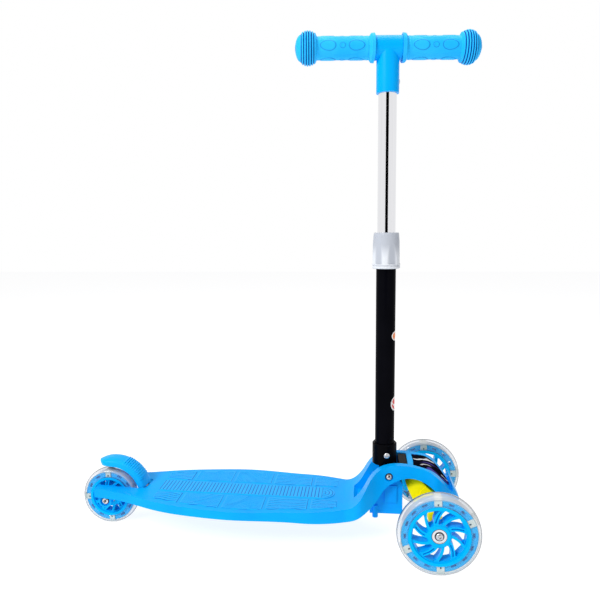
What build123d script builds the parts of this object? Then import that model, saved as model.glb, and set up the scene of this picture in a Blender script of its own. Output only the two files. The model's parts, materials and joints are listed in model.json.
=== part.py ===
"""Child's three-wheeled kick scooter: lean-to-steer front truck, folding stem, height-adjustable handle.

Millimetres. +X is forward, +Y the rider's left and +Z up. The origin is on the floor, under the middle
of the scooter. The handlebar is modelled turned a quarter turn, so it lies along the deck.
"""
from build123d import *
import os
from math import asin, cos, degrees, radians, sin

os.makedirs("parts", exist_ok=True)

# Driving dimensions: wheels and where they stand
FRONT_WHEEL_R = 60.0
REAR_WHEEL_R = 47.5
WHEEL_HALF = 12.0
HALF_TRACK = 109.0
FRONT_AXLE_X = 259.5
REAR_AXLE_X = -272.0
AXLE_R = 4.0
BEARING_R = 11.0
BEARING_WIDTH = 7.0
RUN_FIT = 0.05                      # radial clearance of a shaft turning in a hole
GAP = 0.4                           # space left between pieces that move past each other

# Deck, measured along the floor and above it
DECK_HEEL_X = -287.0
DECK_NOSE_X = 304.0
CHANNEL_HALF = 23.0                 # half the gap between the two rails of the arch
CHANNEL_START_X = 137.0
CROSSBAR_X = 221.0
SLOT_HALF = 18.5                    # half the fork slot that takes the rear wheel
SLOT_END_X = -206.0
LOBE_FACE_Y = 30.0

# Stem, from the pivot bolt up
STEM_X = 185.5
PIVOT_X = 192.0
PIVOT_Z = 109.0
SOCKET_R = 19.2
SOCKET_BOTTOM_Z = 120.5
SOCKET_TOP_Z = 153.7
OUTER_TUBE_R = 15.2
TUBE_WALL = 1.0
OUTER_TUBE_TOP_Z = 470.0
COLLAR_BOTTOM_Z = 430.4
COLLAR_TOP_Z = 485.3
COLLAR_FLAT = 20.1                  # distance of the six flats from the stem's axis
COLLAR_PHASE = -96.0                # angle of one ridge between two flats
INNER_TUBE_R = 13.9
INNER_TUBE_BOTTOM_Z = 388.0
INNER_TUBE_TOP_Z = 743.0

# Handlebar, measured out from the stem's axis
BAR_Z = 756.6
BAR_R = 11.0
BAR_HALF = 132.0
BAR_TURN = 6.3                      # degrees the handlebar stands past straight ahead, to the left
TEE_HALF = 19.6
TEE_SLEEVE_R = 17.0
TEE_BOTTOM_Z = 691.4
GRIP_R = 17.0
BULB_R = 25.3
GRIP_END = 137.4

# Lean-to-steer truck: the kingpin leans forward at the top
KINGPIN_X = 239.5
KINGPIN_Z = 80.0
KINGPIN_TILT = 50.0                 # degrees above the horizontal
KINGPIN_R = 4.0
TRUCK_HALF = 27.0
TRUCK_ARM_END = 93.0
TRUCK_TOP = 16.0                    # truck's top face, along the kingpin from its centre
TRUCK_UNDER = -14.0
BUSH_THICK = 5.0

# Brake fender
FENDER_X = -266.0
FENDER_Z = 53.5
FENDER_R = 61.0
FENDER_HALF = 17.0
BRAKE_PIN_X = -213.0
BRAKE_PIN_Z = 62.0
BRAKE_PIN_R = 2.5

# Spokes: five wide slotted ones and five plain ones, all swept the same way
SPOKE_PAIRS = 5
SWIRL = 1.15                        # degrees of sweep for each millimetre of radius

stem_centre = (STEM_X, 0, 0)
kingpin_dir = Vector(cos(radians(KINGPIN_TILT)), 0, sin(radians(KINGPIN_TILT)))
kingpin_centre = Vector(KINGPIN_X, 0, KINGPIN_Z)
bar_dir = Vector(cos(radians(BAR_TURN)), sin(radians(BAR_TURN)), 0)
bar_side = Vector(-bar_dir.Y, bar_dir.X, 0)


def save(piece, label):
    """Name a finished piece and write it as one STEP file."""
    piece.part.label = label
    export_step(piece.part, f"parts/{label}.step")


def across(x, y, z):
    """Plane for a shape that runs along Y: local x forward, local y up, normal towards -Y."""
    return Plane(origin=(x, y, z), x_dir=(1, 0, 0), z_dir=(0, -1, 0))


def upright(x, z):
    """Plane at height z for a shape that stands on the stem's axis or beside it."""
    return Plane(origin=(x, 0, z))


def along_bar(distance):
    """Plane square to the handlebar, a distance along it from the stem: local y is height."""
    return Plane(origin=Vector(STEM_X, 0, 0) + bar_dir * distance, x_dir=bar_side, z_dir=bar_dir)


def along_kingpin(s):
    """Plane square to the kingpin, s along it from its centre: local y is +Y."""
    return Plane(origin=kingpin_centre + kingpin_dir * s, x_dir=(sin(radians(KINGPIN_TILT)), 0,
                 -cos(radians(KINGPIN_TILT))), z_dir=kingpin_dir)


# ------------------------------------------------------------------ deck board
# One moulding: board, arch of two rails, nose and the fork that holds the rear wheel.
DECK_TOP = [(DECK_HEEL_X, 71.0), (-200, 67.0), (-60, 64.5), (118, 63.3)]
ARCH_TOP = [(118, 63.3), (134, 66.5), (149, 81), (161, 103), (175, 119), (203, 127.5),
            (240, 124), (268, 110.5), (290, 89), (303, 68)]
ARCH_UNDER = [(294, 62), (276, 80), (258, 95), (238, 105.5), (222, 107.5), (203, 102), (186, 90),
              (170, 68), (150, 52.5), (118, 43.3)]
DECK_UNDER = [(118, 43.3), (0, 50.3), (-150, 51.7), (DECK_HEEL_X, 57.0)]
PLAN = [(DECK_HEEL_X, 36), (-240, 41.5), (-180, 61.5), (-100, 78), (-40, 82.5), (40, 74), (120, 58)]
NOSE_PLAN = [(120, 58), (146, 56), (163, 45.5), (180, 36.5), (204, 33.8), (255, 39), (286, 32)]


def side_profile(drop_top=0.0):
    """Closed side view of the moulding; drop_top lowers its top line."""
    top = [(x, z - drop_top) for x, z in DECK_TOP]
    arch = [(x, z - drop_top) for x, z in ARCH_TOP]
    Spline(*top, tangents=[(1, -0.05), (1, 0)])
    Spline(*arch, tangents=[(1, 0), (0.45, -1)])
    Line(arch[-1], ARCH_UNDER[0])
    Spline(*ARCH_UNDER, tangents=[(-1, 0.9), (-1, -0.02)])
    Spline(*DECK_UNDER, tangents=[(-1, 0.02), (-1, 0.05)])
    Line(DECK_UNDER[-1], top[0])


def plan_outline():
    """Plan view of one side of the moulding, from heel to nose."""
    Spline(*PLAN, tangents=[(1, 0.02), (1, -0.35)])
    Spline(*NOSE_PLAN, tangents=[(1, -0.35), (1, -0.9)])
    ThreePointArc(NOSE_PLAN[-1], (299, 18), (DECK_NOSE_X, 0))
    Line((DECK_HEEL_X, 36), (DECK_HEEL_X, 0))


with BuildPart() as deck_board:
    with BuildSketch(Plane.XZ):
        with BuildLine():
            side_profile()
        make_face()
    extrude(amount=100, both=True)
    with BuildSketch():
        with BuildLine():
            plan_outline()
            mirror(about=Plane.XZ)
        make_face()
    extrude(amount=160, mode=Mode.INTERSECT)
    # Channel between the rails, open to the rear so that the stem can fold down into it
    with BuildSketch(Plane.XZ):
        with BuildLine():
            Polyline((CHANNEL_START_X, 68), (CHANNEL_START_X + 6, 64), (162, 64), (162, 20),
                     (CROSSBAR_X, 20), (CROSSBAR_X, 160), (CHANNEL_START_X, 160), close=True)
        make_face()
    extrude(amount=CHANNEL_HALF, both=True, mode=Mode.SUBTRACT)
    # Pockets under the board, leaving ribs along and across it
    for row in range(7):
        for column in (-1.5, -0.5, 0.5, 1.5):
            x = -150 + 40 * row
            reach = 34 if abs(column) < 1 or -130 < x < 20 else 16
            y = column * 34 if reach == 34 else column * 28
            with BuildSketch(Plane.XY):
                with Locations((x, y)):
                    RectangleRounded(36, reach - 4, 3)
            extrude(amount=59.5, mode=Mode.SUBTRACT)
    # Fork slot for the rear wheel
    with BuildSketch():
        with Locations(((DECK_HEEL_X + SLOT_END_X) / 2 - 5, 0)):
            Rectangle(SLOT_END_X - DECK_HEEL_X + 10, 2 * SLOT_HALF)
    extrude(amount=160, mode=Mode.SUBTRACT)
    # Drop-out lobes round the rear axle, each with a shallow recess for the bolt's head or nut
    for side in (-1, 1):
        with BuildSketch(across(REAR_AXLE_X, side * LOBE_FACE_Y, REAR_WHEEL_R)):
            Circle(10.8)
            with BuildLine():
                Polyline((-10, 2), (10, 2), (24, 15), (-14.5, 15), (-14.5, 9), close=True)
            make_face()
        extrude(amount=side * (LOBE_FACE_Y - SLOT_HALF))
        with BuildSketch(across(REAR_AXLE_X, side * (LOBE_FACE_Y + 12), REAR_WHEEL_R)):
            Circle(8)
        extrude(amount=side * 15, mode=Mode.SUBTRACT)
    # Bores: rear axle, brake pin, fold pivot
    with BuildSketch(across(REAR_AXLE_X, 0, REAR_WHEEL_R)):
        Circle(AXLE_R)
    extrude(amount=60, both=True, mode=Mode.SUBTRACT)
    with BuildSketch(across(BRAKE_PIN_X, 0, BRAKE_PIN_Z)):
        Circle(BRAKE_PIN_R)
    extrude(amount=SLOT_HALF + 7, both=True, mode=Mode.SUBTRACT)
    with BuildSketch(across(PIVOT_X, 0, PIVOT_Z)):
        Circle(AXLE_R)
    extrude(amount=60, both=True, mode=Mode.SUBTRACT)
    for side in (-1, 1):
        with BuildSketch(across(PIVOT_X, side * 45, PIVOT_Z)):
            Circle(6.6)
        extrude(amount=side * 13.5, mode=Mode.SUBTRACT)
    # Seat and bore for the kingpin, and the recess that its head sinks into
    with BuildSketch(along_kingpin(TRUCK_TOP + BUSH_THICK)):
        Circle(19)
    extrude(amount=-20, mode=Mode.SUBTRACT)
    with BuildSketch(along_kingpin(TRUCK_TOP + BUSH_THICK)):
        Circle(19)
    extrude(amount=12)
    with BuildSketch(along_kingpin(TRUCK_TOP - 20)):
        Circle(KINGPIN_R)
    extrude(amount=80, mode=Mode.SUBTRACT)
    with BuildSketch(along_kingpin(34)):
        Circle(7.5)
    extrude(amount=40, mode=Mode.SUBTRACT)
    # Bed for the nose panel
    with BuildSketch(Plane.XZ) as bed_side:
        with BuildLine():
            side_profile(drop_top=2.5)
        make_face()
    bed = extrude(amount=60, both=True, mode=Mode.PRIVATE)
    with BuildSketch():
        with BuildLine():
            Polyline((230, 0), (229, 24), (250, 28.5), (274, 25), (285.5, 15), (288.5, 0))
            mirror(about=Plane.XZ)
        make_face()
    panel_block = extrude(amount=160, mode=Mode.PRIVATE)
    add(panel_block - bed, mode=Mode.SUBTRACT)
save(deck_board, "deck_board")

# ------------------------------------------------------------------ nose panel
# Black trim set flush into the top of the nose.
with BuildPart() as nose_panel:
    with BuildSketch(Plane.XZ):
        with BuildLine():
            side_profile(drop_top=0.2)
        make_face()
    extrude(amount=60, both=True)
    with BuildSketch():
        with BuildLine():
            Polyline((231, 0), (230, 23), (250, 27.5), (273, 24), (284, 14.5), (287, 0))
            mirror(about=Plane.XZ)
        make_face()
    extrude(amount=160, mode=Mode.INTERSECT)
    add(bed, mode=Mode.SUBTRACT)
save(nose_panel, "nose_panel")

# ------------------------------------------------------------------ fold housing
# Blue box that hangs between the rails and carries the pivot bolt through its two ears.
HOUSING_HALF = CHANNEL_HALF - 0.3
EAR_R = 11.0
LUG_HALF = 15.0
CHEEK_IN = LUG_HALF + GAP

with BuildPart() as fold_housing:
    with BuildSketch(Plane.XZ):
        with BuildLine():
            Polyline((162.3, 44), (213.5, 44), (213.5, 94), (203, 104), (181.5, 104), (181.5, 90),
                     (162.3, 90), close=True)
        make_face()
        with Locations((PIVOT_X, PIVOT_Z)):
            Circle(EAR_R)
    extrude(amount=HOUSING_HALF, both=True)
    with BuildSketch(Plane.XZ):
        with Locations((PIVOT_X, PIVOT_Z - 10)):
            Rectangle(62, 50)
        with Locations((187, 74)):
            Rectangle(40, 48)
    extrude(amount=CHEEK_IN, both=True, mode=Mode.SUBTRACT)
    with BuildSketch(across(PIVOT_X, 0, PIVOT_Z)):
        Circle(AXLE_R)
    extrude(amount=40, both=True, mode=Mode.SUBTRACT)
    # Raised rectangle on each cheek and the round post that stands beside it
    for side in (-1, 1):
        with BuildSketch(across(195, side * HOUSING_HALF, 77)):
            Rectangle(19, 28)
        extrude(amount=side * -2.0)
        with BuildSketch(Plane.XY.offset(38)):
            with Locations((171, side * (HOUSING_HALF - 1))):
                Circle(4.5)
        extrude(amount=20)
save(fold_housing, "fold_housing")

# ------------------------------------------------------------------ pivot bolt and nut
with BuildPart() as pivot_bolt:
    with BuildSketch(across(PIVOT_X, -31.6, PIVOT_Z)):
        Circle(5.5)
    extrude(amount=3.4)
    with BuildSketch(across(PIVOT_X, -31.6, PIVOT_Z)):
        Circle(AXLE_R)
    extrude(amount=-66)
    fillet(pivot_bolt.edges().filter_by(GeomType.CIRCLE).group_by(Axis.Y)[0], 1.0)
    with BuildSketch(across(PIVOT_X, -35, PIVOT_Z)):
        RegularPolygon(2.6, 6)
    extrude(amount=-2.2, mode=Mode.SUBTRACT)
save(pivot_bolt, "pivot_bolt")

with BuildPart() as pivot_nut:
    with BuildSketch(across(PIVOT_X, 31.6, PIVOT_Z)):
        RegularPolygon(6.2, 6)
        Circle(AXLE_R, mode=Mode.SUBTRACT)
    extrude(amount=-4.0)
save(pivot_nut, "pivot_nut")

# ------------------------------------------------------------------ stem socket
# Black sleeve that holds the outer tube, with the lug that turns on the pivot bolt.
SCREW_X = STEM_X + 3
SCREW_Z = 137.0
SCREW_R = 2.5
TUBE_SEAT_Z = 128.0

with BuildPart() as stem_socket:
    with BuildSketch(upright(STEM_X, SOCKET_BOTTOM_Z)):
        Circle(SOCKET_R)
    extrude(amount=SOCKET_TOP_Z - SOCKET_BOTTOM_Z)
    chamfer(stem_socket.edges().group_by(Axis.Z)[-1], 1.6)
    with BuildSketch(Plane.XZ):
        with Locations((PIVOT_X, PIVOT_Z)):
            Circle(15)
        with Locations((PIVOT_X - 3, PIVOT_Z + 9)):
            Rectangle(24, 16)
    extrude(amount=LUG_HALF, both=True)
    with BuildSketch(upright(STEM_X, TUBE_SEAT_Z)):
        Circle(OUTER_TUBE_R)
    extrude(amount=40, mode=Mode.SUBTRACT)
    with BuildSketch(across(PIVOT_X, 0, PIVOT_Z)):
        Circle(AXLE_R + RUN_FIT)
    extrude(amount=20, both=True, mode=Mode.SUBTRACT)
    with BuildSketch(across(SCREW_X, 0, SCREW_Z)):
        Circle(SCREW_R)
    extrude(amount=30, both=True, mode=Mode.SUBTRACT)
save(stem_socket, "stem_socket")

# Two screws, one from each side, hold the tube in its socket
with BuildPart() as socket_screws:
    for side in (-1, 1):
        with BuildSketch(across(SCREW_X, side * 10, SCREW_Z)):
            Circle(SCREW_R)
        extrude(amount=-side * (SOCKET_R - 9.9))
        with BuildSketch(across(SCREW_X, side * (SOCKET_R + 0.1), SCREW_Z)):
            Circle(4.6)
        extrude(amount=-side * 2.0, taper=20)
save(socket_screws, "socket_screws")

# ------------------------------------------------------------------ fold button
# Black press button ahead of the socket; its spring stands on the front wall of the housing.
BUTTON_X = 210.3
BUTTON_LEG_Z = 92.0
SPRING_FOOT_Z = 74.0

with BuildPart() as fold_button:
    with BuildSketch(Plane.XY.offset(110.5)):
        with Locations((213.9, 0)):
            RectangleRounded(13.0, 2 * CHANNEL_HALF - 2, 3)
        with Locations((STEM_X, 0)):
            Circle(SOCKET_R + 1.2, mode=Mode.SUBTRACT)
    extrude(amount=16)
    fillet(fold_button.edges().group_by(Axis.Z)[-1], 1.2)
    with BuildSketch(Plane.XY.offset(BUTTON_LEG_Z)):
        with Locations((BUTTON_X, 0)):
            Rectangle(5.4, 26)
    extrude(amount=20)
save(fold_button, "fold_button")


with BuildPart() as button_spring:
    with BuildSketch(across(BUTTON_X, 0, SPRING_FOOT_Z)):
        with Locations([(2.0, 0.5 + 0.9 * turn) for turn in range(19)]):
            Circle(0.5)
    revolve(axis=Axis((BUTTON_X, 0, SPRING_FOOT_Z), (0, 0, 1)))
save(button_spring, "button_spring")

# ------------------------------------------------------------------ stem tubes and height lock
with BuildPart() as outer_tube:
    with BuildSketch(upright(STEM_X, TUBE_SEAT_Z)):
        Circle(OUTER_TUBE_R)
        Circle(OUTER_TUBE_R - TUBE_WALL, mode=Mode.SUBTRACT)
    extrude(amount=OUTER_TUBE_TOP_Z - TUBE_SEAT_Z)
    with BuildSketch(across(SCREW_X, 0, SCREW_Z)):
        Circle(SCREW_R)
    extrude(amount=30, both=True, mode=Mode.SUBTRACT)
save(outer_tube, "outer_tube")

# Split plastic ring that the collar squeezes on to the inner tube
with BuildPart() as lock_wedge:
    with BuildSketch(Plane.XZ):
        with BuildLine():
            inner = STEM_X + INNER_TUBE_R + RUN_FIT
            outer = STEM_X + 17.3
            Polyline((inner, OUTER_TUBE_TOP_Z), (inner, 481), (outer - 0.8, 481), (outer, 479),
                     (outer, 456), (STEM_X + OUTER_TUBE_R, 456), (STEM_X + OUTER_TUBE_R, OUTER_TUBE_TOP_Z),
                     close=True)
        make_face()
    revolve(axis=Axis((STEM_X, 0, 0), (0, 0, 1)))
    with BuildSketch(upright(STEM_X, 455)):
        with Locations((0, 16)):
            Rectangle(1.6, 8)
    extrude(amount=30, mode=Mode.SUBTRACT)
save(lock_wedge, "lock_wedge")

# Grey twist collar: six flats that run out in pointed arches, and a lip at the foot
with BuildPart() as lock_collar:
    with BuildSketch(Plane.XZ):
        with BuildLine():
            Polyline((STEM_X + 15.6, COLLAR_BOTTOM_Z), (STEM_X + 20.6, COLLAR_BOTTOM_Z),
                     (STEM_X + 21.5, COLLAR_BOTTOM_Z + 1.2), (STEM_X + 21.5, COLLAR_BOTTOM_Z + 4.0),
                     (STEM_X + 20.9, COLLAR_BOTTOM_Z + 4.6), (STEM_X + 21.6, COLLAR_BOTTOM_Z + 5.6),
                     (STEM_X + 21.8, 437), (STEM_X + 19.8, 480), (STEM_X + 19.5, 483.5),
                     (STEM_X + 18.0, COLLAR_TOP_Z), (STEM_X + 14.2, COLLAR_TOP_Z),
                     (STEM_X + 14.2, 481.6), (STEM_X + 17.8, 481.6), (STEM_X + 17.8, 454.5),
                     (STEM_X + 15.6, 454.5), close=True)
        make_face()
    revolve(axis=Axis((STEM_X, 0, 0), (0, 0, 1)))
    with BuildSketch(upright(STEM_X, 438)):
        with PolarLocations(COLLAR_FLAT + 5, 6, start_angle=COLLAR_PHASE + 30):
            Rectangle(10, 24)
    extrude(amount=40, mode=Mode.SUBTRACT)
save(lock_collar, "lock_collar")

with BuildPart() as inner_tube:
    with BuildSketch(upright(STEM_X, INNER_TUBE_BOTTOM_Z)):
        Circle(INNER_TUBE_R)
        Circle(INNER_TUBE_R - TUBE_WALL, mode=Mode.SUBTRACT)
    extrude(amount=INNER_TUBE_TOP_Z - INNER_TUBE_BOTTOM_Z)
save(inner_tube, "inner_tube")

# Plastic plug that guides the foot of the inner tube inside the outer one
with BuildPart() as guide_bush:
    with BuildSketch(upright(STEM_X, INNER_TUBE_BOTTOM_Z - 12.4)):
        Circle(OUTER_TUBE_R - TUBE_WALL - RUN_FIT)
    extrude(amount=12)
    with BuildSketch(upright(STEM_X, INNER_TUBE_BOTTOM_Z - 0.4)):
        Circle(INNER_TUBE_R - TUBE_WALL - RUN_FIT)
    extrude(amount=22)
    with BuildSketch(upright(STEM_X, INNER_TUBE_BOTTOM_Z - 12.4)):
        Circle(8)
    extrude(amount=40, mode=Mode.SUBTRACT)
save(guide_bush, "guide_bush")

# ------------------------------------------------------------------ handlebar
with BuildPart() as tee_joint:
    with BuildSketch(along_bar(0)):
        with Locations((0, BAR_Z)):
            Circle(17.6)
    extrude(amount=TEE_HALF, both=True)
    with BuildSketch(upright(STEM_X, TEE_BOTTOM_Z)):
        Circle(TEE_SLEEVE_R)
    extrude(amount=BAR_Z - TEE_BOTTOM_Z)
    with BuildSketch(along_bar(0)):
        with Locations((0, BAR_Z)):
            Circle(BAR_R)
    extrude(amount=TEE_HALF + 1, both=True, mode=Mode.SUBTRACT)
    with BuildSketch(upright(STEM_X, TEE_BOTTOM_Z - 1)):
        Circle(INNER_TUBE_R)
    extrude(amount=INNER_TUBE_TOP_Z - TEE_BOTTOM_Z + 1, mode=Mode.SUBTRACT)
    with BuildSketch(along_bar(0)):
        with Locations((0, 708)):
            Circle(2.5)
    extrude(amount=20, mode=Mode.SUBTRACT)
save(tee_joint, "tee_joint")

# Button-headed screw that fixes the tee on the tube
with BuildPart() as tee_screw:
    with BuildSketch(along_bar(INNER_TUBE_R)):
        with Locations((0, 708)):
            Circle(2.5)
    extrude(amount=TEE_SLEEVE_R - INNER_TUBE_R)
    with BuildSketch(along_bar(TEE_SLEEVE_R)):
        with Locations((0, 708)):
            Circle(4.0)
    extrude(amount=1.4, taper=25)
save(tee_screw, "tee_screw")

with BuildPart() as handlebar_tube:
    with BuildSketch(along_bar(0)):
        with Locations((0, BAR_Z)):
            Circle(BAR_R)
            Circle(BAR_R - 1.5, mode=Mode.SUBTRACT)
    extrude(amount=BAR_HALF, both=True)
save(handlebar_tube, "handlebar_tube")

# Rubber grip: flange at the tee, plain barrel, ringed bulb and domed end
FLANGE_R = 21.3
RINGS = 4


def grip(label, way):
    """One grip; way is +1 for the forward one and -1 for the rear one, as the bar stands."""
    middle = (STEM_X, 0, BAR_Z)
    with BuildPart() as piece:
        with BuildSketch(Plane(origin=middle, x_dir=bar_dir * way, z_dir=bar_side * -way)):
            with BuildLine():
                Polyline((20, BAR_R), (20, 19.0), (21.5, FLANGE_R), (24.5, FLANGE_R), (27, 19.0),
                         (30, GRIP_R), (104, GRIP_R), (106, 21.0), (109, 21.7), (110.5, 24.2),
                         (118.8, BULB_R), (128.3, 23.6))
                ThreePointArc((128.3, 23.6), (134.8, 17.0), (GRIP_END, 8))
                Polyline((GRIP_END, 8), (GRIP_END, 0), (BAR_HALF + 0.5, 0), (BAR_HALF + 0.5, BAR_R),
                         (20, BAR_R))
            make_face()
        revolve(axis=Axis(middle, bar_dir))
        with BuildSketch(Plane(origin=middle, x_dir=bar_dir * way, z_dir=bar_side * -way)):
            with Locations([(113.5 + 3.7 * ring, BULB_R - 0.1) for ring in range(RINGS)]):
                Circle(0.8)
        revolve(axis=Axis(middle, bar_dir), mode=Mode.SUBTRACT)
    save(piece, label)


grip("right_grip", way=-1)
grip("left_grip", way=1)

# ------------------------------------------------------------------ wheels
# Clear tyre moulded round a blue rim, with four lamps, two bearings and a magnet sleeve.
RIM_HALF = 11.4
WEB_HALF = 8.5
BAND_HALF = 7.5
BEARING_FACE = 9.5
HUB_R = 15.5
LAMP_START = 93.0                   # angle of the first lamp, from straight ahead
MAGNET_HALF = BEARING_FACE - BEARING_WIDTH - 0.3


def radial(centre):
    """Plane that holds a wheel's axis: local x runs outward, between two lamps, and local y along it."""
    return Plane(origin=centre, x_dir=(1, 0, 1), z_dir=(1, 0, -1))


def section(points, centre):
    """Whole section of a turned piece from its half, given as (radius, distance from mid-plane)."""
    with BuildSketch(radial(centre)) as whole:
        with BuildLine():
            Polyline(*points)
            mirror(about=Plane.XZ)
        make_face()
    return whole.sketch


def window(inner_r, outer_r, lead_half, trail_half, turn, pitch=180 / SPOKE_PAIRS, corner=1.2):
    """Swept opening between two spokes, whose half widths are given.

    With no pitch and negative half widths it is a slot along the middle of one spoke.
    """
    radii = [inner_r + (outer_r - inner_r) * step / 3 for step in range(4)]
    lead = [-SWIRL * (r - inner_r) + degrees(asin(lead_half / r)) for r in radii]
    trail = [pitch - SWIRL * (r - inner_r) - degrees(asin(trail_half / r)) for r in radii]
    first = [(r * cos(radians(turn * a)), r * sin(radians(turn * a))) for r, a in zip(radii, lead)]
    last = [(r * cos(radians(turn * a)), r * sin(radians(turn * a))) for r, a in zip(radii, trail)]
    with BuildSketch() as opening:
        with BuildLine():
            Spline(*first)
            Spline(*last)
            Line(first[0], last[0])
            Line(first[-1], last[-1])
        make_face()
        fillet(opening.vertices(), corner)
    return opening.sketch


def blocks(places, radius, length, width):
    """Rectangles on a circle, at each angle in places, with their length along the radius."""
    with BuildSketch() as pattern:
        for place in places:
            with PolarLocations(radius, 1, start_angle=place):
                Rectangle(length, width)
    return pattern.sketch


def wheel(name, centre, radius, ring_out, ring_in, band_out, lamp, turn, slots, lit):
    """All the pieces of one wheel.

    turn is the way its spokes sweep, seen from -Y. The band has a number of slots: those listed in
    lit hold a lamp, and the others are small through pockets.
    """
    face = across(*centre)
    axis = Axis(centre, (0, 1, 0))
    lamp_out = radius - 2.2
    lamp_mid = (ring_out + lamp_out) / 2
    narrow, wide = 2.1, 3.6
    places = [LAMP_START - 360 * slot / slots for slot in range(slots)]
    lamp_blocks = blocks([places[slot] for slot in lit], lamp_mid, lamp_out - ring_out, lamp)
    pockets = blocks([places[slot] for slot in range(slots) if slot not in lit], ring_out + 4.2, 3.4, 8)
    windows = [window(HUB_R + 2, ring_in - 1, narrow, wide, turn),
               window(HUB_R + 2, ring_in - 1, wide, narrow, turn)]
    groove = window(HUB_R + 4, ring_in - 3.5, -1.2, -1.2, turn, pitch=0, corner=0.9)
    with BuildPart() as tyre:
        with BuildSketch(radial(centre)):
            with BuildLine():
                Polyline((ring_out, 0), (ring_out, RIM_HALF - 0.4), (ring_out + 2, WHEEL_HALF),
                         (radius - 7, WHEEL_HALF - 0.6))
                mirror(about=Plane.XZ)
                ThreePointArc((radius - 7, WHEEL_HALF - 0.6), (radius, 0), (radius - 7, 0.6 - WHEEL_HALF))
            make_face()
            with Locations(((ring_out + band_out) / 2, 0)):
                Rectangle(band_out - ring_out, 2 * BAND_HALF, mode=Mode.SUBTRACT)
        revolve(axis=axis)
        with BuildSketch(face):
            add(lamp_blocks)
        extrude(amount=BEARING_FACE, both=True, mode=Mode.SUBTRACT)
    save(tyre, f"{name}_tyre")

    with BuildPart() as rim:
        rim_half = section([(7, 0), (7, 2.5), (BEARING_R, 2.5), (BEARING_R, BEARING_FACE), (12, 10.3),
                            (HUB_R, 10.3), (HUB_R + 1.5, WEB_HALF), (ring_in - 0.6, WEB_HALF),
                            (ring_in, RIM_HALF), (ring_out, RIM_HALF), (ring_out, BAND_HALF),
                            (band_out, BAND_HALF), (band_out, 0)], centre)
        revolve(rim_half, axis=axis)
        with BuildSketch(face):
            with PolarLocations(0, SPOKE_PAIRS):
                add(windows[0])
            with PolarLocations(0, SPOKE_PAIRS, start_angle=180 / SPOKE_PAIRS):
                add(windows[1])
            add(lamp_blocks)
            add(pockets)
        extrude(amount=WHEEL_HALF, both=True, mode=Mode.SUBTRACT)
        for side in (-1, 1):
            with BuildSketch(across(centre[0], centre[1] + side * WEB_HALF, centre[2])):
                with PolarLocations(0, SPOKE_PAIRS, start_angle=turn * (180 / SPOKE_PAIRS - 2 * SWIRL)):
                    add(groove)
            extrude(amount=side * 3.5, mode=Mode.SUBTRACT)
    save(rim, f"{name}_rim")

    with BuildPart() as lamps:
        with BuildSketch(face):
            add(lamp_blocks)
            Circle(ring_out, mode=Mode.SUBTRACT)
        extrude(amount=BEARING_FACE, both=True)
    save(lamps, f"{name}_lamps")

    with BuildPart() as bearings:
        half = BEARING_WIDTH / 2
        for side in (-1, 1):
            middle = (centre[0], centre[1] + side * (BEARING_FACE - half), centre[2])
            race = section([(AXLE_R + RUN_FIT, 0), (AXLE_R + RUN_FIT, half), (6.1, half),
                            (6.1, half - 0.4), (9.3, half - 0.4), (9.3, half), (BEARING_R, half),
                            (BEARING_R, 0)], middle)
            revolve(race, axis=axis)
    save(bearings, f"{name}_bearings")

    with BuildPart() as magnet:
        sleeve = section([(AXLE_R, 0), (AXLE_R, MAGNET_HALF), (6.4, MAGNET_HALF), (6.4, 0)], centre)
        revolve(sleeve, axis=axis)
    save(magnet, f"{name}_magnet")


for name, side, lit in (("left_wheel", 1, (0, 4, 8, 12)), ("right_wheel", -1, (0, 3, 8, 11))):
    wheel(name, (FRONT_AXLE_X, side * HALF_TRACK, FRONT_WHEEL_R), FRONT_WHEEL_R, ring_out=44.0,
          ring_in=39.5, band_out=54.0, lamp=11.0, turn=-side, slots=16, lit=lit)
wheel("rear_wheel", (REAR_AXLE_X, 0, REAR_WHEEL_R), REAR_WHEEL_R, ring_out=33.0, ring_in=29.0,
      band_out=42.0, lamp=9.0, turn=1, slots=12, lit=(0, 3, 6, 9))

# ------------------------------------------------------------------ front truck
# Yellow moulding that turns on the kingpin and carries the front axle out to both wheels.
with BuildPart() as truck_body:
    with BuildSketch(Plane.XZ):
        with BuildLine():
            Polyline((222, 101), (218.5, 91), (229.5, 70), (246, 52), (FRONT_AXLE_X, FRONT_WHEEL_R - 17),
                     (FRONT_AXLE_X + 17, FRONT_WHEEL_R), (269, 77), (259.8, 86), (238.1, 106), close=True)
        make_face()
        with Locations((FRONT_AXLE_X, FRONT_WHEEL_R)):
            Circle(17)
    extrude(amount=TRUCK_HALF, both=True)
    # Flat top and underside square to the kingpin, and a rear end rounded about it
    with BuildSketch(along_kingpin(TRUCK_TOP)):
        Rectangle(160, 120)
    extrude(amount=60, mode=Mode.SUBTRACT)
    with BuildSketch(along_kingpin(-60)):
        Circle(23.5)
        with Locations((60, 0)):
            Rectangle(120, 120)
    extrude(amount=120, mode=Mode.INTERSECT)
    # Arms, tapering out to the wheels
    for side in (-1, 1):
        with BuildSketch(across(FRONT_AXLE_X, side * (TRUCK_HALF - 2), FRONT_WHEEL_R)):
            Circle(13)
        with BuildSketch(across(FRONT_AXLE_X, side * TRUCK_ARM_END, FRONT_WHEEL_R)):
            Circle(9)
        loft()
    # Bores for the axle and the kingpin, with a flat for the nut
    with BuildSketch(across(FRONT_AXLE_X, 0, FRONT_WHEEL_R)):
        Circle(AXLE_R)
    extrude(amount=100, both=True, mode=Mode.SUBTRACT)
    with BuildSketch(along_kingpin(-60)):
        Circle(KINGPIN_R + RUN_FIT)
    extrude(amount=120, mode=Mode.SUBTRACT)
    with BuildSketch(along_kingpin(TRUCK_UNDER)):
        Circle(12)
    extrude(amount=-40, mode=Mode.SUBTRACT)
save(truck_body, "truck_body")

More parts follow.
